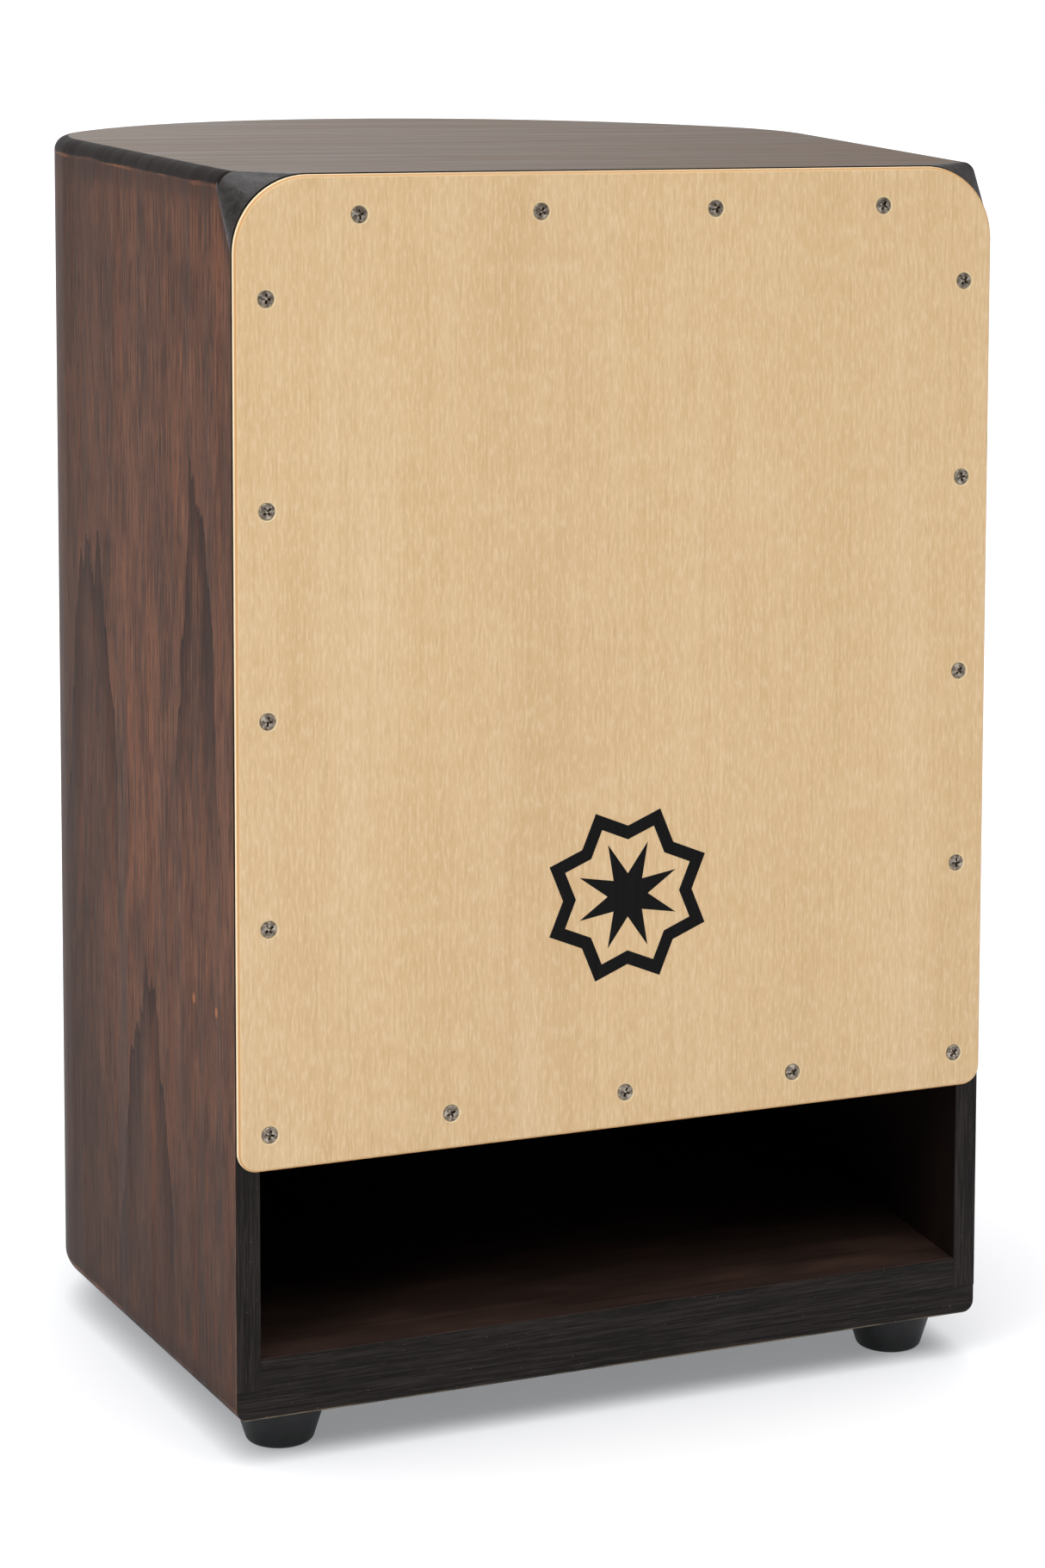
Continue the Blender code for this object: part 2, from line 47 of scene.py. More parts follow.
# Plan of the box, as in the CAD: flat flared sides, rounded rear corners and a bowed back.
FRONT_WIDTH = 328.1 * MM
SIDE_FLARE = math.radians(4.1)
CORNER_RADIUS = 76 * MM
BACK_RADIUS = 206.5 * MM
WALL = 10 * MM
SEAT_THICKNESS = 10 * MM
SEAT_SLOPE = math.tan(math.radians(2.53))
BOTTOM_THICKNESS = 12 * MM
SEAT_ROUNDING = 6 * MM
BOTTOM_ROUNDING = 5 * MM
BLEND_RADIUS = 30 * MM  # of the upper edges where they meet the front
BLEND_LENGTH = 14 * MM
EASED_EDGE = 0.7 * MM  # sanding of the arrises
BASE_WEAR = 4 * MM  # height of the darker lower edge
BOARD_CLEARANCE = 0.05 * MM  # round the floor board, inside the wall
PANEL_LOWER_RADIUS = 8 * MM
PANEL_EASING = 2.0 * MM
PANEL_REAR_EASING = 0.3 * MM
SAME_PLACE = 0.01 * MM  # tolerance for telling where an edge lies

# Places read from the frame.
FRONT_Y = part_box("bent_shell")[0].y
BACK_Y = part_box("bent_shell")[1].y
PANEL_LOW, PANEL_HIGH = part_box("front_panel")
INK_THICKNESS = 0.02 * MM
FACE_Y = PANEL_LOW.y + 1.5 * INK_THICKNESS  # the print stays inside the CAD box
BOTTOM_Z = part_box("bottom_board")[0].z
FLOOR_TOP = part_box("port_floor")[1].z
SEAT_DROP = 0.15 * MM  # keeps the crisper rear edge under the top of the CAD box
SEAT_FRONT_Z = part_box("seat_board")[0].z + SEAT_THICKNESS - SEAT_DROP

COINCIDENT = 0.002 * MM  # points closer than this are one point

# Steps of the curved surfaces.
BLEND_STEPS = 12
SIDE_STEPS = 8
CORNER_STEPS = 26
BACK_STEPS = 22
SEAT_EDGE_STEPS = 14
WALL_EDGE_STEPS = 8
BASE_EDGE_STEPS = 10
PANEL_CORNER_STEPS = 16
PANEL_EDGE_STEPS = 8
TURNED_STEPS = 40
FOOT_STEPS = 64

# Stained veneer, in metres: across is measured round the plan, up from the floor.
FIBRE_RELIEF = 0.2 * MM
FIGURE_JAG = 0.10
FIGURE_WANDER = 0.016
EDGE_RAGGEDNESS = 0.004
KNOT_RADIUS = 1.6 * MM

# Screws.
HEAD_RADIUS = 3.15 * MM
SHANK_RADIUS = 1.6 * MM
COUNTERSINK_RADIUS = 3.85 * MM
HEAD_RIM = 0.15 * MM
HEAD_SINK = 0.1 * MM
HEAD_DOME = 0.05 * MM
SHANK_END = -12 * MM
POINT_END = -16 * MM
BORE_CLEARANCE = 0.3 * MM
RECESS_SPAN = 2.9 * MM
RECESS_WIDTH = 1.1 * MM
RECESS_DEPTH = 1.5 * MM

# Mark on the front panel.
MARK_CENTRE = Vector((0.5 * MM, 214.8 * MM))
MARK_RADIUS = 37 * MM
MARK_POINTS = 8

# Feet.
FOOT_FLARE = 2.2 * MM  # wider at the top than the CAD's foot
FOOT_TAPER = 5.2 * MM
FOOT_TAPER_ANGLE = math.radians(15)
FOOT_EDGE = 2.2 * MM
FOOT_LIP = 0.5 * MM
FOOT_SQUEEZE = 0.25 * MM  # closes the gap under the box
FOOT_BORE = 2.6 * MM
FOOT_POCKET = 6.5 * MM
FOOT_POCKET_DEPTH = 10 * MM
FOOT_POCKET_EDGE = 0.6 * MM

# Camera.
CAMERA_PLACE = Vector((-0.57496, -1.43664, 0.55419))
CAMERA_PITCH = math.radians(5.4336)
CAMERA_TURN = math.radians(-22.5158)
CAMERA_ROLL = math.radians(0.1204)
CAMERA_LENS = 81.528
CAMERA_SHIFT = -0.2556

# Light.
OVERHEAD_POWER = 2.8
OVERHEAD_SPREAD = math.radians(75)
OVERHEAD_TILT = (math.radians(10), math.radians(-1), 0)
SIDE_LIGHT_PLACE = (-1.6, -1.0, 1.3)
SIDE_LIGHT_AIM = (0, 0, 0.4)
SIDE_LIGHT_SIZE = (0.8, 0.8)
SIDE_LIGHT_POWER = 7
FRONT_TO_REAR_LEVEL = (-0.5, 0.5, 0.2, 0.9)  # surroundings by direction: from, to, level, level
LEFT_TO_RIGHT_LEVEL = (0.25, 0.6, 1.0, 0.3)
FLOOR_GLOW = 0.25
FLOOR_REACH = 30


# ---------------------------------------------------------------- plan


def arc(centre, radius, start, end, steps):
    """(point, outward direction) along an arc, both ends included."""
    places = []
    for i in range(steps + 1):
        angle = start + (end - start) * i / steps
        outward = Vector((math.cos(angle), math.sin(angle)))
        places.append((centre + radius * outward, outward))
    return places


def side_x(y):
    """Half width of the flared side at depth y."""
    return FRONT_WIDTH / 2 + (y - FRONT_Y) * math.tan(SIDE_FLARE)


def rear_corner_centre():
    """Centre of the right rear corner arc, which touches the side and the bowed back."""
    along = Vector((math.sin(SIDE_FLARE), math.cos(SIDE_FLARE)))
    inward = Vector((-math.cos(SIDE_FLARE), math.sin(SIDE_FLARE)))
    start = Vector((FRONT_WIDTH / 2, FRONT_Y)) + CORNER_RADIUS * inward
    offset = start - Vector((0.0, BACK_Y - BACK_RADIUS))
    half_b = offset.dot(along)
    c = offset.dot(offset) - (BACK_RADIUS - CORNER_RADIUS) ** 2
    return start + (-half_b + math.sqrt(half_b**2 - c)) * along


def plan_stations():
    """(point, outward direction, distance from the front edge) round the plan, right to left.

    The outward direction starts straight across at the front, so that every inset outline still
    begins on the front plane, and turns to the side's own normal further back.
    """
    corner = rear_corner_centre()
    back_centre = Vector((0.0, BACK_Y - BACK_RADIUS))
    join = math.atan2(corner.y - back_centre.y, corner.x - back_centre.x)
    corner_arc = arc(corner, CORNER_RADIUS, -SIDE_FLARE, join, CORNER_STEPS)
    side_end = corner_arc[0][0].y
    depths = [FRONT_Y + BLEND_LENGTH * i / BLEND_STEPS for i in range(BLEND_STEPS + 1)]
    depths += [depths[-1] + (side_end - depths[-1]) * i / SIDE_STEPS for i in range(1, SIDE_STEPS)]
    right = []
    for y in depths:
        angle = -SIDE_FLARE * min(1.0, (y - FRONT_Y) / (side_end - FRONT_Y))
        right.append((Vector((side_x(y), y)), Vector((math.cos(angle), math.sin(angle)))))
    right += corner_arc
    right += arc(back_centre, BACK_RADIUS, join, math.pi / 2, BACK_STEPS)[1:]
    left = [(Vector((-p.x, p.y)), Vector((-n.x, n.y))) for p, n in reversed(right[:-1])]
    stations = []
    travelled = 0.0
    previous = right[0][0]
    for point, outward in right + left:
        travelled += (point - previous).length
        previous = point
        stations.append((point, outward, travelled))
    return stations


STATIONS = plan_stations()
VENEER_LENGTH = STATIONS[-1][2]

# Growth figures in the veneer: place round the plan, height of the peak and spread, in metres.
VENEER_FIGURES = (
    (VENEER_LENGTH - 0.038, 0.383, 0.0040),
    (VENEER_LENGTH - 0.096, 0.176, 0.0085),
    (VENEER_LENGTH - 0.160, 0.345, 0.0080),
    (VENEER_LENGTH * 0.66, 0.250, 0.0120),
    (VENEER_LENGTH * 0.58, 0.440, 0.0200),
    (VENEER_LENGTH * 0.50, 0.270, 0.0090),
    (VENEER_LENGTH * 0.42, 0.400, 0.0160),
    (VENEER_LENGTH * 0.32, 0.300, 0.0090),
    (0.150, 0.420, 0.0150),
    (0.060, 0.230, 0.0080),
)
# Knots in the veneer: place round the plan and height.
VENEER_KNOTS = ((VENEER_LENGTH - 0.019, 0.178), (VENEER_LENGTH - 0.043, 0.178), (0.120, 0.310))


def seat_z(y):
    """Height of the seat's upper face at depth y."""
    return SEAT_FRONT_Z + SEAT_SLOPE * (y - FRONT_Y)


def top_rounding(y):
    """Radius of the box's upper edge, which swells at the front to meet the panel's round corner."""
    share = max(0.0, 1.0 - (y - FRONT_Y) / BLEND_LENGTH)
    return SEAT_ROUNDING + (BLEND_RADIUS - SEAT_ROUNDING) * share


# ---------------------------------------------------------------- meshes


def add_object(name, mesh, *materials):
    """Puts a new object with this mesh, or curve, in the scene."""
    obj = bpy.data.objects.new(name, mesh)
    bpy.context.scene.collection.objects.link(obj)
    for material in materials:
        mesh.materials.append(material)
    return obj


def evaluated_mesh(obj):
    """A new mesh with the object's modifiers applied."""
    bpy.context.view_layer.update()
    return bpy.data.meshes.new_from_object(obj.evaluated_get(bpy.context.evaluated_depsgraph_get()))


def clean(mesh):
    """Merges the points that coincide and drops the faces without area."""
    work = bmesh.new()
    work.from_mesh(mesh)
    bmesh.ops.remove_doubles(work, verts=work.verts, dist=COINCIDENT)
    bmesh.ops.dissolve_degenerate(work, dist=COINCIDENT, edges=work.edges)
    work.to_mesh(mesh)
    work.free()


def finish_piece(obj, slot, *nodes):
    """Applies the piece's modifiers, shades it, and puts it on the frame in place of CAD nodes."""
    mesh = evaluated_mesh(obj)
    obj.modifiers.clear()
    obj.data = mesh
    clean(mesh)
    mesh.shade_smooth()
    mesh.set_sharp_from_angle(angle=math.radians(40))
    weights = obj.modifiers.new("even_shading", "WEIGHTED_NORMAL")
    weights.keep_sharp = True
    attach(obj, "root")
    if nodes:
        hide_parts(*nodes)
    return obj


def loft(name, rings, strips, caps, materials, closed=False, blend=None):
    """A closed body from rings that all follow the plan from its right front to its left front.

    rings: lists of (position, grain coordinates, distance from the veneer's edge).
    strips: the material of the strip after each ring. caps: those of the first ring's cap, the
    last ring's cap and the front; a closed loft, such as a wall, only has the front's. blend is the
    material of the swollen corner at the front.
    """
    work = bmesh.new()
    grain = work.loops.layers.uv.new("grain")
    edge = work.loops.layers.uv.new("edge")
    data = {}
    rows = []
    for points in rings:
        row = []
        for position, coordinates, distance in points:
            vertex = work.verts.new(position)
            data[vertex] = (coordinates, distance)
            row.append(vertex)
        rows.append(row)

    def face(vertices, material):
        made = work.faces.new(vertices)
        made.material_index = material
        for loop in made.loops:
            coordinates, distance = data[loop.vert]
            loop[grain].uv = coordinates
            loop[edge].uv = (distance, 0.0)

    pairs = list(zip(rows, rows[1:])) + ([(rows[-1], rows[0])] if closed else [])
    for (lower, upper), material in zip(pairs, strips):
        for i in range(len(lower) - 1):
            corners = (lower[i], lower[i + 1], upper[i + 1], upper[i])
            in_front = max(v.co.y for v in corners) < FRONT_Y + BLEND_LENGTH + COINCIDENT
            rounded = max(data[v][1] for v in corners) < COINCIDENT
            swollen = blend is not None and material == 0 and in_front and rounded
            face(corners, blend if swollen else material)
    if closed:
        face([row[0] for row in rows], caps[0])
        face([row[-1] for row in rows], caps[0])
    else:
        face(rows[0], caps[0])
        face(rows[-1], caps[1])
        face([row[0] for row in rows] + [row[-1] for row in reversed(rows)], caps[2])
    bmesh.ops.remove_doubles(work, verts=work.verts, dist=1e-7)
    bmesh.ops.dissolve_degenerate(work, dist=1e-7, edges=work.edges)
    bmesh.ops.recalc_face_normals(work, faces=work.faces)
    mesh = bpy.data.meshes.new(name)
    work.to_mesh(mesh)
    work.free()
    return add_object(name, mesh, *materials)


def at_front(place):
    return abs(place.y - FRONT_Y) < SAME_PLACE


def ease_edges(obj, chosen, width=EASED_EDGE, segments=3):
    """Rounds over the edges for which chosen(middle of the edge, direction) is true."""
    layer = obj.data.attributes.new("bevel_weight_edge", "FLOAT", "EDGE")
    for edge in obj.data.edges:
        a, b = (obj.data.vertices[i].co for i in edge.vertices)
        layer.data[edge.index].value = 1.0 if chosen((a + b) / 2, (b - a).normalized()) else 0.0
    modifier = obj.modifiers.new("eased", "BEVEL")
    modifier.limit_method = "WEIGHT"
    modifier.width = width
    modifier.segments = segments
    modifier.harden_normals = False
    return obj


def turned(name, profile, steps, *materials):
    """A turned piece about Z, from (radius, height) points."""
    mesh = bpy.data.meshes.new(name)
    links = [(i, i + 1) for i in range(len(profile) - 1)]
    mesh.from_pydata([(r, 0.0, z) for r, z in profile], links, [])
    obj = add_object(name, mesh, *materials)
    modifier = obj.modifiers.new("turn", "SCREW")
    modifier.steps = modifier.render_steps = steps
    modifier.use_merge_vertices = True
    modifier.merge_threshold = 1e-6
    return obj


# ---------------------------------------------------------------- material helpers


def tone(code):
    """Linear RGBA of a display colour such as '6b5146'."""
    values = [int(code[i : i + 2], 16) / 255 for i in (0, 2, 4)]
    linear = [v / 12.92 if v <= 0.04045 else ((v + 0.055) / 1.055) ** 2.4 for v in values]
    return (*linear, 1.0)


class Nodes:
    """Builds one material's node tree."""

    def __init__(self, name, roughness, **settings):
        self.material = bpy.data.materials.new(name)
        self.material.use_nodes = True
        self.tree = self.material.node_tree
        self.shader = self.tree.nodes["Principled BSDF"]
        self.shader.inputs["Roughness"].default_value = roughness
        for key, value in settings.items():
            self.shader.inputs[key.replace("_", " ")].default_value = value

    def add(self, kind, **settings):
        node = self.tree.nodes.new("ShaderNode" + kind)
        for key, value in settings.items():
            setattr(node, key, value)
        return node

    def put(self, socket, value):
        if isinstance(value, bpy.types.NodeSocket):
            self.tree.links.new(value, socket)
        else:
            socket.default_value = value

    def place(self, scale=(1, 1, 1), offset=(0, 0, 0), uv=None):
        """Object coordinates, or those of a UV map, moved and stretched."""
        if uv:
            source = self.add("UVMap", uv_map=uv).outputs["UV"]
        else:
            source = self.add("TexCoord").outputs["Object"]
        mapping = self.add("Mapping")
        self.put(mapping.inputs["Vector"], source)
        mapping.inputs["Scale"].default_value = scale
        mapping.inputs["Location"].default_value = offset
        return mapping.outputs["Vector"]

    def split(self, vector):
        node = self.add("SeparateXYZ")
        self.put(node.inputs[0], vector)
        return node.outputs

    def noise(self, vector, detail=2.0, roughness=0.5, distortion=0.0, scale=1.0):
        node = self.add("TexNoise")
        self.put(node.inputs["Vector"], vector)
        node.inputs["Scale"].default_value = scale
        node.inputs["Detail"].default_value = detail
        node.inputs["Roughness"].default_value = roughness
        node.inputs["Distortion"].default_value = distortion
        return node.outputs["Fac"]

    def math(self, operation, a, b=0.0, clamp=False):
        node = self.add("Math", operation=operation, use_clamp=clamp)
        self.put(node.inputs[0], a)
        self.put(node.inputs[1], b)
        return node.outputs[0]

    def sway(self, value, noise, amount):
        """Value moved to and fro by a noise, over the given amount in all."""
        return self.math("ADD", value, self.math("MULTIPLY", self.math("SUBTRACT", noise, 0.5), amount))

    def between(self, value, low, high, to_low=0.0, to_high=1.0):
        """Value mapped smoothly from low..high to to_low..to_high, and held outside."""
        node = self.add("MapRange", interpolation_type="SMOOTHSTEP")
        self.put(node.inputs["Value"], value)
        node.inputs["From Min"].default_value = low
        node.inputs["From Max"].default_value = high
        node.inputs["To Min"].default_value = to_low
        node.inputs["To Max"].default_value = to_high
        return node.outputs[0]

    def ramp(self, value, *stops):
        node = self.add("ValToRGB")
        self.put(node.inputs[0], value)
        elements = node.color_ramp.elements
        while len(elements) < len(stops):
            elements.new(1.0)
        for element, (position, colour) in zip(elements, stops):
            element.position = position
            element.color = tone(colour)
        return node.outputs["Color"]

    def mix(self, share, a, b, mode="MIX"):
        node = self.add("Mix", data_type="RGBA", blend_type=mode)
        self.put(node.inputs[0], share)
        self.put(node.inputs[6], tone(a) if isinstance(a, str) else a)
        self.put(node.inputs[7], tone(b) if isinstance(b, str) else b)
        return node.outputs[2]

    def bump(self, height, strength, distance, under=None):
        node = self.add("Bump")
        node.inputs["Strength"].default_value = strength
        node.inputs["Distance"].default_value = distance
        self.put(node.inputs["Height"], height)
        if under:
            self.put(node.inputs["Normal"], under)
        return node.outputs["Normal"]

    def finish(self, colour, roughness=None, normal=None):
        self.put(self.shader.inputs["Base Color"], tone(colour) if isinstance(colour, str) else colour)
        if roughness:
            self.put(self.shader.inputs["Roughness"], roughness)
        if normal:
            self.put(self.shader.inputs["Normal"], normal)
        return self.material


# ---------------------------------------------------------------- materials


def growth_figure(nodes, across, height, centre, peak, spread):
    """Distance inside a pointed growth figure, which opens downwards from its peak, in metres."""
    offset = nodes.math("SUBTRACT", across, centre)
    square = nodes.math("MULTIPLY", offset, offset)
    drop = nodes.math("MULTIPLY", nodes.math("SUBTRACT", peak, height), spread)
    slope_squared = nodes.math("ADD", nodes.math("MULTIPLY", square, 4.0), spread**2)
    return nodes.math("DIVIDE", nodes.math("SUBTRACT", drop, square), nodes.math("SQRT", slope_squared))


def veneer_figures(nodes, base, across, along):
    """Darker growth figures, each with a thin ragged outline."""
    jag = nodes.noise(nodes.place((110, 5, 1), (1, 5, 0), uv="grain"), 3.0, 0.6, 0.2)
    wander = nodes.noise(nodes.place((9, 14, 1), (6, 2, 0), uv="grain"), 2.0, 0.5)
    height = nodes.sway(along, jag, FIGURE_JAG)
    shifted = nodes.sway(across, wander, FIGURE_WANDER)
    for centre, peak, spread in VENEER_FIGURES:
        inside = growth_figure(nodes, shifted, height, centre, peak, spread)
        below = nodes.math("SUBTRACT", peak, along)
        entered = nodes.between(inside, -0.0002, 0.0002)
        entered = nodes.math("MULTIPLY", entered, nodes.between(below, 0.06, 0.19, 1.0, 0.0))
        shade = nodes.math("MULTIPLY", entered, nodes.between(inside, 0.0, 0.035, 1.0, 0.25))
        base = nodes.mix(shade, base, "a8a09d", "MULTIPLY")
        line = nodes.math("MULTIPLY", entered, nodes.between(inside, 0.0003, 0.0013, 0.85, 0.0))
        base = nodes.mix(line, base, "120c0b")
    return base


def veneer_knots(nodes, base, across, along):
    """Small orange knots."""
    for centre, level in VENEER_KNOTS:
        aside = nodes.math("SUBTRACT", across, centre)
        above = nodes.math("MULTIPLY", nodes.math("SUBTRACT", along, level), 0.6)
        squares = [nodes.math("MULTIPLY", offset, offset) for offset in (aside, above)]
        inside = nodes.between(nodes.math("ADD", *squares), KNOT_RADIUS**2 / 4, KNOT_RADIUS**2, 0.8, 0.0)
        base = nodes.mix(inside, base, "a8683f")
    return base


def veneer_edges_and_painted_light(nodes, base, across, along):
    """Painted shade to the rear and near the base, darker stain on the rounded edges, a worn line along
    them that is also a painted highlight, and wear through the stain on the arrises.
    """
    to_front = nodes.math("MINIMUM", across, nodes.math("SUBTRACT", VENEER_LENGTH, across))
    # Painted shade: the veneer darkens away from the front edges, round the rear corners and the back.
    base = nodes.mix(nodes.between(to_front, 0.10, 0.22, 0.0, 0.65), base, "2a1d18")
    # Painted shade: the veneer is darker towards the bottom.
    base = nodes.mix(nodes.between(along, 0.03, 0.24, 0.55, 0.0), base, "2c1f1a")
    edge = nodes.split(nodes.place(uv="edge"))[0]
    ragged = nodes.noise(nodes.place((26, 300, 1), (3, 3, 0), uv="grain"), 3.0, 0.6)
    edge = nodes.sway(edge, ragged, EDGE_RAGGEDNESS)
    base = nodes.mix(nodes.between(edge, 0.001, 0.014, 0.55, 0.0), base, "30221d")
    rounded = nodes.between(edge, -0.0008, 0.0, 1.0, 0.0)
    base = nodes.mix(rounded, base, "1b1513")
    # A patchy light line where the rounding begins: partly veneer worn through, partly a painted edge
    # highlight.
    worn_line_and_highlight = nodes.math(
        "MULTIPLY", nodes.between(edge, -0.0007, -0.0001), nodes.between(edge, 0.0002, 0.0009, 1.0, 0.0)
    )
    patchy = nodes.noise(nodes.place((24, 24, 1), (8, 8, 0), uv="grain"), 3.0, 0.6)
    worn = nodes.between(patchy, 0.46, 0.66, 0.05, 0.6)
    base = nodes.mix(nodes.math("MULTIPLY", worn_line_and_highlight, worn), base, "8d5a3e")
    low = nodes.between(along, 0.13, 0.30, 1.0, 0.25)
    arris = nodes.math("MULTIPLY", nodes.between(to_front, 0.0004, 0.0011, 1.0, 0.0), low)
    base = nodes.mix(nodes.math("MULTIPLY", arris, worn), base, "94694b")
    return base


def veneer_material():
    """Dark stained rotary-cut veneer with upright grain."""
    nodes = Nodes("stained_veneer", 0.5, Specular_IOR_Level=0.05)
    across, along, _ = nodes.split(nodes.place(uv="grain"))

    broad = nodes.noise(nodes.place((22, 2.6, 1), uv="grain"), 3.0, 0.6, 0.6)
    blotches = nodes.noise(nodes.place((60, 14, 1), (3, 8, 0), uv="grain"), 3.0, 0.6, 0.8)
    streaks = nodes.noise(nodes.place((170, 3.0, 1), (4, 1, 0), uv="grain"), 5.0, 0.65, 0.3)
    fibres = nodes.noise(nodes.place((1250, 34, 1), (9, 3, 0), uv="grain"), 3.0, 0.7)
    pores = nodes.noise(nodes.place((2300, 85, 1), (2, 7, 0), uv="grain"), 2.0, 0.6)

    base = nodes.ramp(streaks, (0.3, "503528"), (0.5, "6a4533"), (0.7, "7e4f39"))
    base = nodes.mix(nodes.between(broad, 0.36, 0.6, 0.5, 0.0), base, "3c2a23")
    base = nodes.mix(nodes.between(blotches, 0.38, 0.6, 0.5, 0.0), base, "33231d")
    base = nodes.mix(nodes.between(fibres, 0.5, 0.66, 0.0, 0.5), base, "8a5c42")
    base = nodes.mix(nodes.between(fibres, 0.34, 0.5, 0.7, 0.0), base, "271b16")
    base = nodes.mix(nodes.between(pores, 0.34, 0.47, 0.6, 0.0), base, "1d1311")

    base = veneer_figures(nodes, base, across, along)
    base = veneer_knots(nodes, base, across, along)
    base = veneer_edges_and_painted_light(nodes, base, across, along)
    relief = nodes.math("ADD", nodes.math("MULTIPLY", fibres, 0.5), nodes.math("MULTIPLY", pores, 0.5))
    normal = nodes.bump(relief, 0.2, FIBRE_RELIEF)
    roughness = nodes.between(streaks, 0.3, 0.7, 0.42, 0.55)
    return nodes.finish(base, roughness, normal)


def lacquer_material():
    """Thick dark lacquer on the front corners, with small dents."""
    nodes = Nodes("dark_lacquer", 0.3, Specular_IOR_Level=0.35)
    dents = nodes.noise(nodes.place((300, 300, 300)), 3.0, 0.6)
    waves = nodes.noise(nodes.place((60, 60, 60), (4, 4, 4)), 2.0, 0.5)
    base = nodes.ramp(dents, (0.35, "1c1918"), (0.7, "353030"))
    roughness = nodes.between(waves, 0.3, 0.7, 0.18, 0.34)
    normal = nodes.bump(waves, 0.4, 0.0015)
    return nodes.finish(base, roughness, nodes.bump(dents, 0.5, 0.0006, normal))


def seat_material():
    """The same stain on the seat, whose grain runs across."""
    nodes = Nodes("stained_seat", 0.36, Specular_IOR_Level=0.22, Specular_Tint=(1.0, 0.84, 0.66, 1.0))
    broad = nodes.noise(nodes.place((2.5, 22, 1)), 3.0, 0.6, 0.8)
    lines = nodes.noise(nodes.place((9, 420, 1), (3, 1, 0)), 4.0, 0.65, 0.2)
    pores = nodes.noise(nodes.place((70, 1700, 1), (5, 2, 0)), 2.0, 0.6)
    base = nodes.ramp(lines, (0.3, "362617"), (0.55, "543c25"), (0.75, "6c4e31"))
    base = nodes.mix(nodes.between(broad, 0.35, 0.65, 0.0, 0.4), base, "5a422e")
    base = nodes.mix(nodes.between(pores, 0.32, 0.45, 0.7, 0.0), base, "171312")
    relief = nodes.math("ADD", nodes.math("MULTIPLY", lines, 0.6), nodes.math("MULTIPLY", pores, 0.4))
    roughness = nodes.between(lines, 0.3, 0.7, 0.28, 0.42)
    return nodes.finish(base, roughness, nodes.bump(relief, 0.3, 0.0002))


def ply_material(name, axis):
    """Stained plywood edge, whose plies are layered along the given axis (0 across, 2 up)."""
    nodes = Nodes(name, 0.5, Specular_IOR_Level=0.12)
    layered = [34.0, 34.0, 34.0]
    layered[axis] = 1300.0
    fine = [90.0, 90.0, 90.0]
    fine[axis] = 3200.0
    plies = nodes.noise(nodes.place(tuple(layered)), 2.0, 0.5)
    lines = nodes.noise(nodes.place(tuple(fine), (3, 1, 4)), 3.0, 0.7)
    base = nodes.ramp(plies, (0.32, "100d0c"), (0.5, "1c1816"), (0.7, "2d2725"))
    base = nodes.mix(nodes.between(lines, 0.54, 0.7, 0.0, 0.5), base, "433e3c")
    base = nodes.mix(nodes.between(lines, 0.3, 0.42, 0.7, 0.0), base, "060505")
    specks = nodes.noise(nodes.place((1300, 1300, 1300), (2, 2, 2)), 1.0, 0.5)
    base = nodes.mix(nodes.between(specks, 0.79, 0.82, 0.0, 0.8), base, "8d867f")
    above = nodes.math("SUBTRACT", nodes.split(nodes.place())[2], BOTTOM_Z)
    patchy = nodes.noise(nodes.place((30, 30, 30), (6, 6, 6)), 3.0, 0.6)
    patchy = nodes.between(patchy, 0.4, 0.6, 0.1, 0.75)
    worn = nodes.math("MULTIPLY", nodes.between(above, 0.0005, 0.0009, 1.0, 0.0), patchy)
    base = nodes.mix(worn, base, "8f8068")
    relief = nodes.math("ADD", nodes.math("MULTIPLY", plies, 0.5), nodes.math("MULTIPLY", lines, 0.5))
    return nodes.finish(base, None, nodes.bump(relief, 0.5, 0.0004))


def inner_material(name, deep, middle, light):
    """Thin dark stain on the inside, with orange scratches where it is worn."""
    nodes = Nodes(name, 0.45, Specular_IOR_Level=0.3)
    clouds = nodes.noise(nodes.place((14, 40, 14)), 4.0, 0.6)
    grain = nodes.noise(nodes.place((12, 600, 12), (1, 2, 3)), 3.0, 0.65)
    base = nodes.ramp(clouds, (0.3, deep), (0.55, middle), (0.75, light))
    base = nodes.mix(nodes.between(grain, 0.3, 0.5, 0.5, 0.0), base, "0f0b0a")
    scratch = nodes.noise(nodes.place((60, 340, 60), (7, 3, 1)), 3.0, 0.55, 1.2)
    base = nodes.mix(nodes.between(scratch, 0.7, 0.78, 0.0, 0.7), base, "8a4f2c")
    return nodes.finish(base, None, nodes.bump(grain, 0.3, 0.0003))


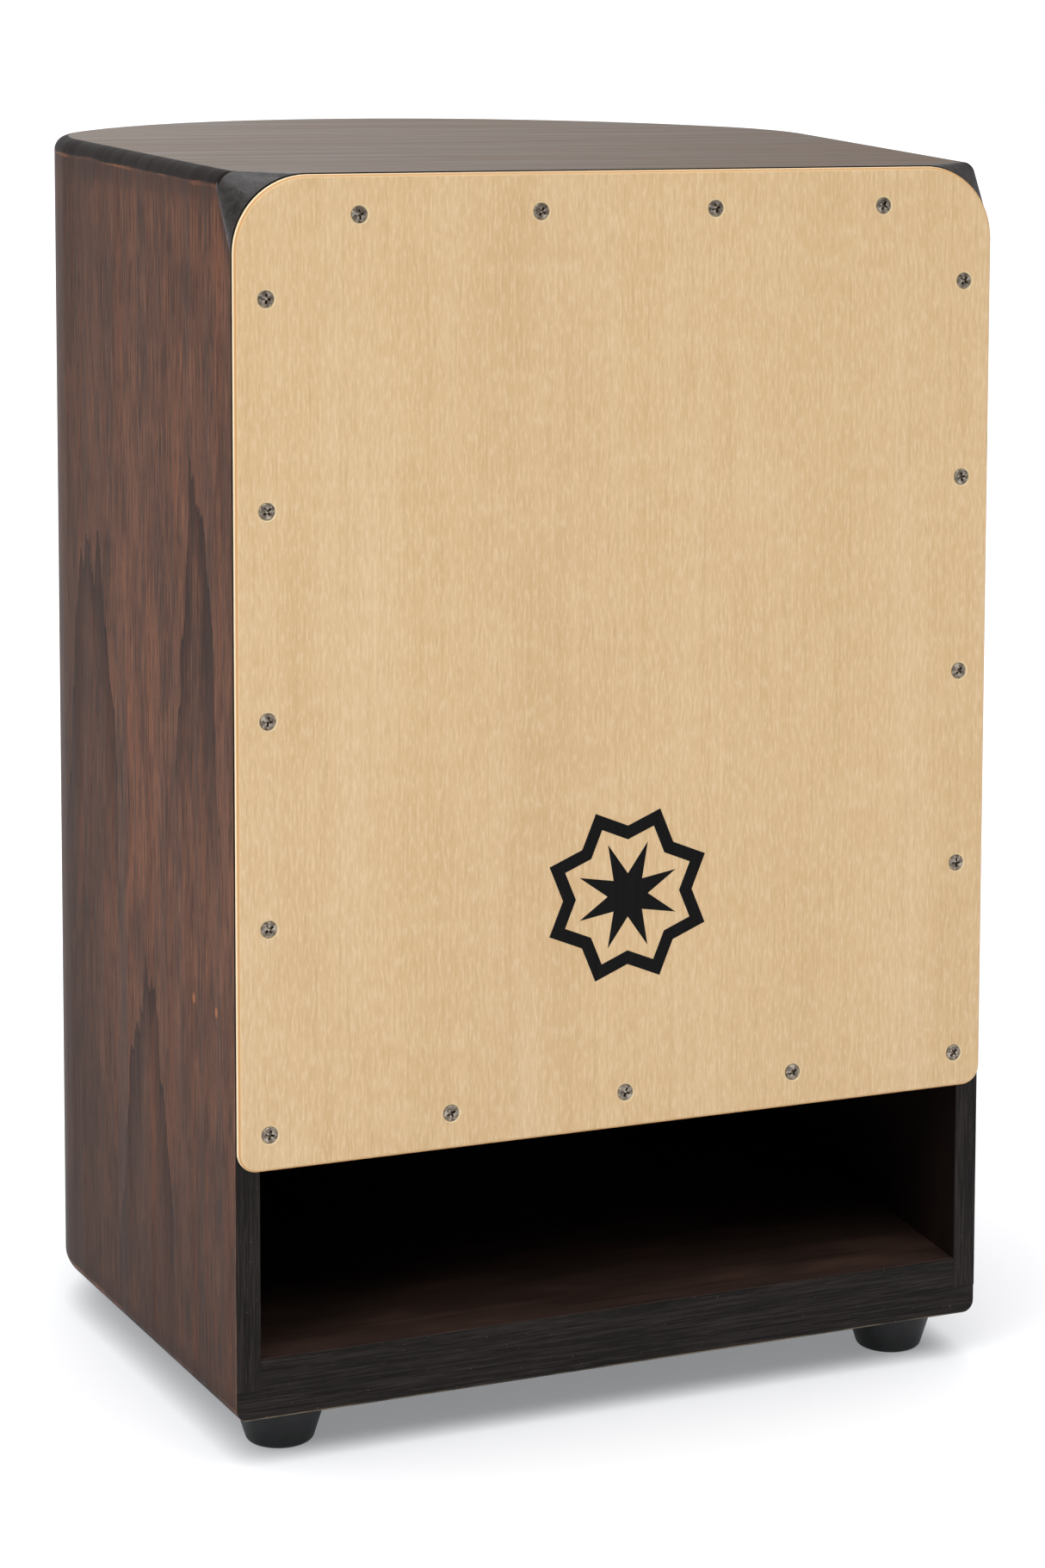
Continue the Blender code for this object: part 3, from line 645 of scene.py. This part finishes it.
def birch_material():
    """Clear-lacquered birch: a pale face with fine upright grain, and plies seen on the rounded edge."""
    nodes = Nodes("birch_face", 0.4, Specular_IOR_Level=0.35)
    broad = nodes.noise(nodes.place((7, 7, 1.3)), 3.0, 0.55, 0.5)
    bands = nodes.noise(nodes.place((38, 38, 2.4), (3, 1, 2)), 4.0, 0.6, 0.5)
    ripple = nodes.noise(nodes.place((52, 52, 75), (5, 4, 1)), 2.0, 0.5)
    lines = nodes.noise(nodes.place((520, 520, 11), (2, 6, 3)), 4.0, 0.68, 0.15)
    flecks = nodes.noise(nodes.place((1500, 1500, 60), (8, 1, 5)), 2.0, 0.6)
    base = nodes.ramp(bands, (0.3, "cfae80"), (0.5, "d5b488"), (0.7, "dabd94"))
    base = nodes.mix(nodes.between(broad, 0.35, 0.65, 0.0, 0.35), base, "dcbc8d")
    base = nodes.mix(nodes.between(ripple, 0.42, 0.64, 0.0, 0.10), base, "e9cfa5")
    base = nodes.mix(nodes.between(lines, 0.34, 0.5, 0.22, 0.0), base, "bf9a67")
    base = nodes.mix(nodes.between(lines, 0.55, 0.72, 0.0, 0.22), base, "ebd0a4")
    base = nodes.mix(nodes.between(flecks, 0.3, 0.42, 0.30, 0.0), base, "ae8652")
    mottle = nodes.noise(nodes.place((900, 900, 170), (1, 9, 3)), 2.0, 0.6)
    base = nodes.mix(nodes.between(mottle, 0.35, 0.5, 0.22, 0.0), base, "c6a373")
    base = nodes.mix(nodes.between(mottle, 0.5, 0.66, 0.0, 0.28), base, "ecd7b6")
    depth = nodes.math("SUBTRACT", nodes.split(nodes.place())[1], FACE_Y)
    plies = nodes.ramp(
        nodes.math("DIVIDE", depth, 3 * MM),
        (0.0, "dcbf93"),
        (0.10, "d9b98a"),
        (0.15, "c7965f"),
        (0.36, "cb9b66"),
        (0.44, "f0dcb6"),
        (1.0, "ead4ab"),
    )
    base = nodes.mix(nodes.between(depth, 0.00015, 0.0003), base, plies)
    relief = nodes.math("ADD", nodes.math("MULTIPLY", lines, 0.6), nodes.math("MULTIPLY", flecks, 0.4))
    return nodes.finish(base, None, nodes.bump(relief, 0.12, 0.00015))


def raw_birch_material():
    """Freshly cut wood in the countersinks."""
    nodes = Nodes("countersunk_birch", 0.6)
    grain = nodes.noise(nodes.place((900, 900, 60)), 3.0, 0.6)
    return nodes.finish(nodes.ramp(grain, (0.3, "e3c693"), (0.7, "f6e3bd")))


def steel_material():
    """Dull nickel plate, darker in its scratches."""
    nodes = Nodes("nickel_plate", 0.25, Metallic=1.0)
    wear = nodes.noise(nodes.place((420, 420, 420)), 3.0, 0.55)
    base = nodes.ramp(wear, (0.3, "453d36"), (0.5, "756b60"), (0.7, "b8aea1"))
    roughness = nodes.between(wear, 0.3, 0.7, 0.36, 0.16)
    return nodes.finish(base, roughness, nodes.bump(wear, 0.15, 0.0002))


def rubber_material():
    nodes = Nodes("black_rubber", 0.5, Specular_IOR_Level=0.25)
    skin = nodes.noise(nodes.place((1200, 1200, 1200)), 2.0, 0.6)
    dust = nodes.noise(nodes.place((90, 90, 90), (1, 1, 1)), 3.0, 0.6)
    base = nodes.ramp(dust, (0.35, "141516"), (0.7, "232426"))
    return nodes.finish(base, None, nodes.bump(skin, 0.25, 0.0002))


def ink_material():
    nodes = Nodes("black_ink", 0.5, Specular_IOR_Level=0.08)
    lines = nodes.noise(nodes.place((520, 520, 9), (2, 6, 3)), 4.0, 0.68, 0.15)
    base = nodes.ramp(lines, (0.3, "0a0a0a"), (0.7, "131212"))
    return nodes.finish(base, None, nodes.bump(lines, 0.12, 0.00015))


def pine_material():
    nodes = Nodes("planed_pine", 0.65)
    rings = nodes.noise(nodes.place((140, 140, 3)), 3.0, 0.6, 0.4)
    base = nodes.ramp(rings, (0.3, "b98a55"), (0.7, "dcb682"))
    return nodes.finish(base, None, nodes.bump(rings, 0.2, 0.0003))


# ---------------------------------------------------------------- box


def ring(inset, height, distance):
    """One ring round the plan. inset, height and distance are functions of the station's depth y."""
    points = []
    for point, outward, along in STATIONS:
        x, y = point - outward * inset(point.y)
        z = height(y, point.y)
        points.append((Vector((x, y, z)), (along, z), distance(point.y)))
    return points


def depth_ring(inset, depth):
    """A ring measured down from the seat's surface; the veneer starts where the rounding ends."""
    return ring(inset, lambda y, at: seat_z(y) - depth(at), lambda at: depth(at) - top_rounding(at))


def joint_angle(y):
    """Angle of the top rounding, from upright, at which it crosses the joint under the seat."""
    radius = top_rounding(y)
    return math.acos(max(0.0, 1.0 - SEAT_THICKNESS / radius))


def rounding_ring(angle):
    """A ring on the top rounding at angle(y) from upright."""
    return depth_ring(
        lambda y: top_rounding(y) * (1 - math.sin(angle(y))),
        lambda y: top_rounding(y) * (1 - math.cos(angle(y))),
    )


def make_seat(veneer, top, ply_up, inner, lacquer):
    """The seat board with its share of the rounded edge, from the joint under it upwards."""
    rings = [
        depth_ring(
            lambda y: top_rounding(y) * (1 - math.sin(joint_angle(y))),
            lambda y: SEAT_THICKNESS,
        )
    ]
    for i in range(SEAT_EDGE_STEPS + 1):
        rings.append(rounding_ring(lambda y, i=i: joint_angle(y) * (1 - i / SEAT_EDGE_STEPS)))
    strips = [0] * (len(rings) - 1)
    seat = loft("seat_top", rings, strips, (3, 1, 2), (veneer, top, ply_up, inner, lacquer), blend=4)
    finish_piece(seat, "stained_plywood", "seat_board")


def make_shell(veneer, ply_across, inner, lacquer):
    """The bent wall, carried up and down to close the joints with the seat and bottom."""

    def upper_angle(share):
        return lambda y: math.pi / 2 + (joint_angle(y) - math.pi / 2) * share

    low = BOTTOM_Z + BOTTOM_THICKNESS
    rings = [ring(lambda y: 0.0, lambda y, at: low, lambda at: 1.0)]
    rings.append(depth_ring(lambda y: 0.0, lambda y: top_rounding(y) + BLEND_RADIUS))
    rings.append(depth_ring(lambda y: 0.0, lambda y: max(top_rounding(y), SEAT_THICKNESS)))
    for i in range(1, WALL_EDGE_STEPS + 1):
        rings.append(rounding_ring_below_joint(upper_angle(i / WALL_EDGE_STEPS)))
    rings.append(depth_ring(lambda y: WALL, lambda y: SEAT_THICKNESS))
    rings.append(ring(lambda y: WALL, lambda y, at: low, lambda at: 1.0))
    strips = [0] * (len(rings) - 3) + [2, 2, 2]
    looks = (veneer, ply_across, inner, lacquer)
    shell = loft("bent_wall", rings, strips, (1,), looks, closed=True, blend=3)

    def front_upright(middle, direction):
        upright = abs(direction.z) > 0.9
        return at_front(middle) and upright and middle.z < seat_z(FRONT_Y) - BLEND_RADIUS

    ease_edges(shell, front_upright)
    finish_piece(shell, "stained_plywood", "bent_shell")


def rounding_ring_below_joint(angle):
    """As rounding_ring, but never above the joint under the seat."""

    def inset(y):
        radius = top_rounding(y)
        return radius * (1 - math.sin(angle(y))) if radius > SEAT_THICKNESS else 0.0

    return depth_ring(inset, lambda y: max(SEAT_THICKNESS, top_rounding(y) * (1 - math.cos(angle(y)))))


def make_bottom(veneer, ply_up, inner):
    """The base board, whose veneer is worn where its lower edge is rounded over, with a painted
    highlight along that line.
    """
    rings = []
    for i in range(BASE_EDGE_STEPS + 1):
        angle = math.pi / 2 * i / BASE_EDGE_STEPS
        inset = BOTTOM_ROUNDING * (1 - math.sin(angle))
        height = BOTTOM_Z + BOTTOM_ROUNDING * (1 - math.cos(angle))
        worn_to = height - BOTTOM_Z - BASE_WEAR
        rings.append(ring(lambda y, d=inset: d, lambda y, at, z=height: z, lambda at, d=worn_to: d))
    top = BOTTOM_Z + BOTTOM_THICKNESS
    rings.append(ring(lambda y: 0.0, lambda y, at: top, lambda at: BOTTOM_THICKNESS))
    strips = [0] * (len(rings) - 1)
    bottom = loft("base_board", rings, strips, (2, 2, 1), (veneer, ply_up, inner))

    def front_lower(middle, direction):
        return at_front(middle) and middle.z < top - SAME_PLACE

    ease_edges(bottom, front_lower)
    finish_piece(bottom, "stained_plywood", "bottom_board")


def make_floor(ply_up, worn):
    """The floor of the port, whose front edge is the sill."""
    inset = WALL + BOARD_CLEARANCE
    rings = []
    for z in (BOTTOM_Z + BOTTOM_THICKNESS + BOARD_CLEARANCE, FLOOR_TOP):
        rings.append(ring(lambda y: inset, lambda y, at, z=z: z, lambda at: 1.0))
    board = loft("port_sill", rings, [1], (1, 1, 0), (ply_up, worn))

    def sill(middle, direction):
        level = abs(direction.x) > 0.9
        return at_front(middle) and level and middle.z > FLOOR_TOP - SAME_PLACE

    ease_edges(board, sill)
    finish_piece(board, "inner_plywood", "port_floor")


# ---------------------------------------------------------------- front panel


def panel_outline(inset):
    """The panel's outline as (x, z), counter-clockwise seen by the player, offset inwards."""
    low, high = PANEL_LOW.z + inset, PANEL_HIGH.z - inset
    half = PANEL_HIGH.x - inset
    outline = []
    quarter = math.pi / 2
    for corner, (sx, z, radius) in enumerate(
        (
            (1, low, PANEL_LOWER_RADIUS),
            (1, high, BLEND_RADIUS),
            (-1, high, BLEND_RADIUS),
            (-1, low, PANEL_LOWER_RADIUS),
        )
    ):
        radius -= inset
        rise = radius if z == low else -radius
        centre = Vector((sx * (half - radius), z + rise))
        start = quarter * (corner - 1)
        corner_arc = arc(centre, radius, start, start + quarter, PANEL_CORNER_STEPS)
        outline += [point for point, _ in corner_arc]
    return outline


def make_panel(birch, raw):
    """The playing panel: eased edges and a countersunk hole for each screw."""
    work = bmesh.new()
    thickness = PANEL_HIGH.y - FACE_Y
    profile = [(PANEL_REAR_EASING, thickness), (0.0, thickness - PANEL_REAR_EASING)]
    for i in range(PANEL_EDGE_STEPS + 1):
        angle = math.pi / 2 * i / PANEL_EDGE_STEPS
        profile.append((PANEL_EASING * (1 - math.cos(angle)), PANEL_EASING * (1 - math.sin(angle))))
    rows = []
    for inset, depth in profile:
        rows.append([work.verts.new((x, FACE_Y + depth, z)) for x, z in panel_outline(inset)])
    for lower, upper in zip(rows, rows[1:]):
        for i in range(len(lower)):
            j = (i + 1) % len(lower)
            work.faces.new((lower[i], lower[j], upper[j], upper[i]))
    work.faces.new(rows[0])
    work.faces.new(rows[-1])
    bmesh.ops.recalc_face_normals(work, faces=work.faces)
    mesh = bpy.data.meshes.new("playing_panel")
    work.to_mesh(mesh)
    work.free()
    panel = add_object("playing_panel", mesh, birch, raw)

    holes = bpy.data.collections.new("countersinks")
    bore = SHANK_RADIUS + BORE_CLEARANCE
    clear = 1 * MM
    cutters = []
    for name, place in screw_places():
        profile = [
            (0.0, clear),
            (COUNTERSINK_RADIUS + clear, clear),
            (bore, bore - COUNTERSINK_RADIUS),
            (bore, -thickness - clear),
            (0.0, -thickness - clear),
        ]
        cutter = turned("countersink_" + name, profile, TURNED_STEPS, raw)
        cutter.matrix_world = facing_player(place)
        holes.objects.link(cutter)
        cutters.append(cutter)
    modifier = panel.modifiers.new("countersunk", "BOOLEAN")
    modifier.operation = "DIFFERENCE"
    modifier.solver = "EXACT"
    modifier.operand_type = "COLLECTION"
    modifier.collection = holes
    modifier.material_mode = "TRANSFER"
    finish_piece(panel, "birch_panel", "front_panel")
    for cutter in cutters:
        bpy.data.objects.remove(cutter)


def facing_player(place, turn=0.0):
    """Matrix that stands a turned piece at (x, z) on the panel with its +Z towards the player."""
    upright = Matrix.Rotation(math.pi / 2, 4, "X")
    return Matrix.Translation((place[0], FACE_Y, place[1])) @ upright @ Matrix.Rotation(turn, 4, "Z")


# ---------------------------------------------------------------- screws


def screw_places():
    """(CAD node, (x, z)) of each panel screw."""
    places = []
    for node in sorted(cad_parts):
        if node.startswith("panel_screw"):
            low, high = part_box(node)
            places.append((node, ((low.x + high.x) / 2, (low.z + high.z) / 2)))
    return places


def recess_cutter(name, turn):
    """A blade that narrows with depth: two opposite arms of the cross recess."""
    work = bmesh.new()
    bmesh.ops.create_cube(work, size=1.0)
    for vertex in work.verts:
        taper = 0.35 if vertex.co.z < 0 else 1.0
        vertex.co.x *= 2 * RECESS_SPAN * taper
        vertex.co.y *= RECESS_WIDTH * (0.6 if vertex.co.z < 0 else 1.0)
        vertex.co.z *= 2 * RECESS_DEPTH
    mesh = bpy.data.meshes.new(name)
    work.to_mesh(mesh)
    work.free()
    cutter = add_object(name, mesh)
    cutter.rotation_euler.z = turn
    return cutter


def screw_mesh(steel):
    """Countersunk cross-head screw with a slightly domed face, its point downwards."""
    head_depth = HEAD_RADIUS - SHANK_RADIUS
    profile = [(0.0, HEAD_DOME - HEAD_SINK)]
    for i in range(1, 6):
        share = i / 5
        profile.append(((HEAD_RADIUS - HEAD_RIM) * share, HEAD_DOME * (1 - share**2) - HEAD_SINK))
    profile += [
        (HEAD_RADIUS, -HEAD_RIM - HEAD_SINK),
        (SHANK_RADIUS, -head_depth - HEAD_RIM - HEAD_SINK),
        (SHANK_RADIUS, SHANK_END),
        (0.0, POINT_END),
    ]
    screw = turned("screw_pattern", profile, TURNED_STEPS, steel)
    cutters = [recess_cutter(f"recess_{i}", i * math.pi / 2) for i in range(2)]
    square = add_object("recess_square", bpy.data.meshes.new("recess_square"))
    work = bmesh.new()
    bmesh.ops.create_cone(
        work, cap_ends=True, segments=4, radius1=0.35 * MM, radius2=1.0 * MM, depth=2 * RECESS_DEPTH
    )
    work.to_mesh(square.data)
    work.free()
    cutters.append(square)
    for cutter in cutters:
        modifier = screw.modifiers.new(cutter.name, "BOOLEAN")
        modifier.operation = "DIFFERENCE"
        modifier.solver = "EXACT"
        modifier.object = cutter
    mesh = evaluated_mesh(screw)
    for obj in [screw, *cutters]:
        bpy.data.objects.remove(obj)
    clean(mesh)
    mesh.shade_smooth()
    mesh.set_sharp_from_angle(angle=math.radians(30))
    return mesh


def make_screws(steel):
    """The panel screws, each stopped at its own angle."""
    pattern = screw_mesh(steel)
    for i, (node, place) in enumerate(screw_places()):
        screw = bpy.data.objects.new(node.replace("panel_screw", "cross_head"), pattern)
        bpy.context.scene.collection.objects.link(screw)
        screw.matrix_world = facing_player(place, 0.4 + i * 2.4)
        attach(screw, "root")
        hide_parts(node)


# ---------------------------------------------------------------- mark


def star(radius, waist):
    """Outline of a star, counter-clockwise."""
    outline = []
    for i in range(2 * MARK_POINTS):
        reach = radius if i % 2 == 0 else waist
        angle = math.pi * (i + 1) / MARK_POINTS
        outline.append((reach * math.cos(angle), reach * math.sin(angle)))
    return outline


def make_mark(ink):
    """A printed eight-pointed tile star: a solid band, and a small star within it."""
    curve = bpy.data.curves.new("tile_star", "CURVE")
    curve.dimensions = "2D"
    curve.fill_mode = "BOTH"
    curve.extrude = INK_THICKNESS
    waist = math.cos(math.pi / 4) / math.cos(math.pi / 8)
    outlines = (
        star(MARK_RADIUS, MARK_RADIUS * waist),
        star(MARK_RADIUS * 0.8, MARK_RADIUS * 0.8 * waist),
        star(MARK_RADIUS * 0.62, MARK_RADIUS * 0.24),
    )
    for outline in outlines:
        spline = curve.splines.new("POLY")
        spline.points.add(len(outline) - 1)
        for point, (x, y) in zip(spline.points, outline):
            point.co = (x, y, 0.0, 1.0)
        spline.use_cyclic_u = True
    source = add_object("tile_star_curve", curve)
    mesh = evaluated_mesh(source)
    bpy.data.objects.remove(source)
    work = bmesh.new()
    work.from_mesh(mesh)
    bmesh.ops.remove_doubles(work, verts=work.verts, dist=1e-7)
    work.transform(facing_player(MARK_CENTRE))
    work.to_mesh(mesh)
    work.free()
    mark = add_object("printed_star", mesh, ink)
    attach(mark, "root")


# ---------------------------------------------------------------- feet


def make_feet(rubber):
    """Tapered rubber feet with a soft lower edge, a small lip on top and a recess for the screw."""
    for node in sorted(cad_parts):
        if node.startswith("foot_") and "screw" not in node and "washer" not in node:
            low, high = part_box(node)
            top_radius = (high.x - low.x) / 2 + FOOT_FLARE
            height = high.z + FOOT_SQUEEZE
            profile = [
                (FOOT_BORE, height),
                (top_radius - FOOT_LIP, height),
                (top_radius, height - FOOT_LIP),
            ]
            edge_centre = top_radius - FOOT_TAPER - FOOT_EDGE
            for i in range(7):
                angle = -FOOT_TAPER_ANGLE * (1 - i / 6) - math.pi / 2 * (i / 6)
                reach = edge_centre + FOOT_EDGE * math.cos(angle)
                profile.append((reach, FOOT_EDGE + FOOT_EDGE * math.sin(angle)))
            profile += [
                (FOOT_POCKET + FOOT_POCKET_EDGE, 0.0),
                (FOOT_POCKET, FOOT_POCKET_EDGE),
                (FOOT_POCKET, FOOT_POCKET_DEPTH),
                (FOOT_BORE, FOOT_POCKET_DEPTH),
                (FOOT_BORE, height),
            ]
            foot = turned(node.replace("foot_", "rubber_foot_"), profile, FOOT_STEPS, rubber)
            foot.location = ((low.x + high.x) / 2, (low.y + high.y) / 2, 0.0)
            finish_piece(foot, "rubber", node)


# ---------------------------------------------------------------- CAD nodes that stay


def dress_frame(inner, pine, steel):
    """Materials for the CAD nodes that are shown as they are."""
    looks = {"port_shelf": inner, "batten": pine, "foot_screw": steel, "foot_washer": steel}
    for node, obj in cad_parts.items():
        for start, material in looks.items():
            if node.startswith(start):
                obj.data.materials.clear()
                obj.data.materials.append(material)


# ---------------------------------------------------------------- stage


def make_stage():
    """Seamless white floor."""
    work = bmesh.new()
    bmesh.ops.create_grid(work, x_segments=1, y_segments=1, size=FLOOR_REACH)
    mesh = bpy.data.meshes.new("studio_floor")
    work.to_mesh(mesh)
    work.free()
    nodes = Nodes("white_paper", 0.9, Specular_IOR_Level=0.1)
    nodes.shader.inputs["Emission Color"].default_value = (0.95, 0.97, 1.0, 1.0)
    nodes.shader.inputs["Emission Strength"].default_value = FLOOR_GLOW
    floor = add_object("studio_floor", mesh, nodes.finish("e4e4e6"))


def add_area_light(name, place, aim, size, power):
    light = bpy.data.lights.new(name, "AREA")
    light.shape = "RECTANGLE"
    light.size, light.size_y = size
    light.energy = power
    obj = bpy.data.objects.new(name, light)
    obj.location = place
    obj.rotation_euler = (Vector(aim) - Vector(place)).to_track_quat("-Z", "Y").to_euler()
    bpy.context.scene.collection.objects.link(obj)


def level_by_direction(tree, component, start, end, level_start, level_end):
    """Strength of the surroundings, changing with one component of the direction."""
    node = tree.nodes.new("ShaderNodeMapRange")
    node.inputs["From Min"].default_value = start
    node.inputs["From Max"].default_value = end
    node.inputs["To Min"].default_value = level_start
    node.inputs["To Max"].default_value = level_end
    tree.links.new(component, node.inputs["Value"])
    return node.outputs[0]


def make_lights():
    """Even studio light, brighter behind and to the left; the camera sees a plain white backdrop."""
    world = bpy.data.worlds.new("studio")
    bpy.context.scene.world = world
    world.use_nodes = True
    tree = world.node_tree
    surround = tree.nodes["Background"]
    surround.inputs["Color"].default_value = (1, 1, 1, 1)
    direction = tree.nodes.new("ShaderNodeTexCoord")
    split = tree.nodes.new("ShaderNodeSeparateXYZ")
    tree.links.new(direction.outputs["Generated"], split.inputs[0])
    strength = tree.nodes.new("ShaderNodeMath")
    strength.operation = "MULTIPLY"
    rearward = level_by_direction(tree, split.outputs["Y"], *FRONT_TO_REAR_LEVEL)
    rightward = level_by_direction(tree, split.outputs["X"], *LEFT_TO_RIGHT_LEVEL)
    tree.links.new(rearward, strength.inputs[0])
    tree.links.new(rightward, strength.inputs[1])
    tree.links.new(strength.outputs[0], surround.inputs["Strength"])
    backdrop = tree.nodes.new("ShaderNodeBackground")
    backdrop.inputs["Strength"].default_value = 1.0
    backdrop.inputs["Color"].default_value = (1, 1, 1, 1)
    mix = tree.nodes.new("ShaderNodeMixShader")
    path = tree.nodes.new("ShaderNodeLightPath")
    tree.links.new(path.outputs["Is Camera Ray"], mix.inputs[0])
    tree.links.new(surround.outputs[0], mix.inputs[1])
    tree.links.new(backdrop.outputs[0], mix.inputs[2])
    tree.links.new(mix.outputs[0], tree.nodes["World Output"].inputs["Surface"])

    sun = bpy.data.lights.new("overhead", "SUN")
    sun.energy = OVERHEAD_POWER
    sun.angle = OVERHEAD_SPREAD
    lamp = bpy.data.objects.new("overhead", sun)
    lamp.rotation_euler = OVERHEAD_TILT
    bpy.context.scene.collection.objects.link(lamp)
    add_area_light("left_soft", SIDE_LIGHT_PLACE, SIDE_LIGHT_AIM, SIDE_LIGHT_SIZE, SIDE_LIGHT_POWER)


def make_camera():
    data = bpy.data.cameras.new("camera")
    data.sensor_fit = "AUTO"
    data.sensor_width = 36
    data.lens = CAMERA_LENS
    data.shift_y = CAMERA_SHIFT
    data.clip_end = 100
    camera = bpy.data.objects.new("camera", data)
    aim = Euler((math.pi / 2 - CAMERA_PITCH, 0, CAMERA_TURN)).to_matrix().to_4x4()
    camera.matrix_world = Matrix.Translation(CAMERA_PLACE) @ aim @ Matrix.Rotation(CAMERA_ROLL, 4, "Z")
    bpy.context.scene.collection.objects.link(camera)
    bpy.context.scene.camera = camera
    bpy.context.scene.view_settings.view_transform = "Standard"


# ---------------------------------------------------------------- assembly


def main():
    make_camera()
    make_lights()
    make_stage()
    veneer = veneer_material()
    ply_up = ply_material("stained_ply_level", 2)
    ply_across = ply_material("stained_ply_upright", 0)
    inner = inner_material("inner_stain", "140e0c", "1c1310", "291a13")
    worn = inner_material("port_stain", "2c211c", "392a24", "4c3830")
    steel = steel_material()
    lacquer = lacquer_material()
    make_seat(veneer, seat_material(), ply_up, inner, lacquer)
    make_shell(veneer, ply_across, inner, lacquer)
    make_bottom(veneer, ply_up, inner)
    make_floor(ply_up, worn)
    make_panel(birch_material(), raw_birch_material())
    make_screws(steel)
    make_mark(ink_material())
    make_feet(rubber_material())
    dress_frame(inner, pine_material(), steel)


main()
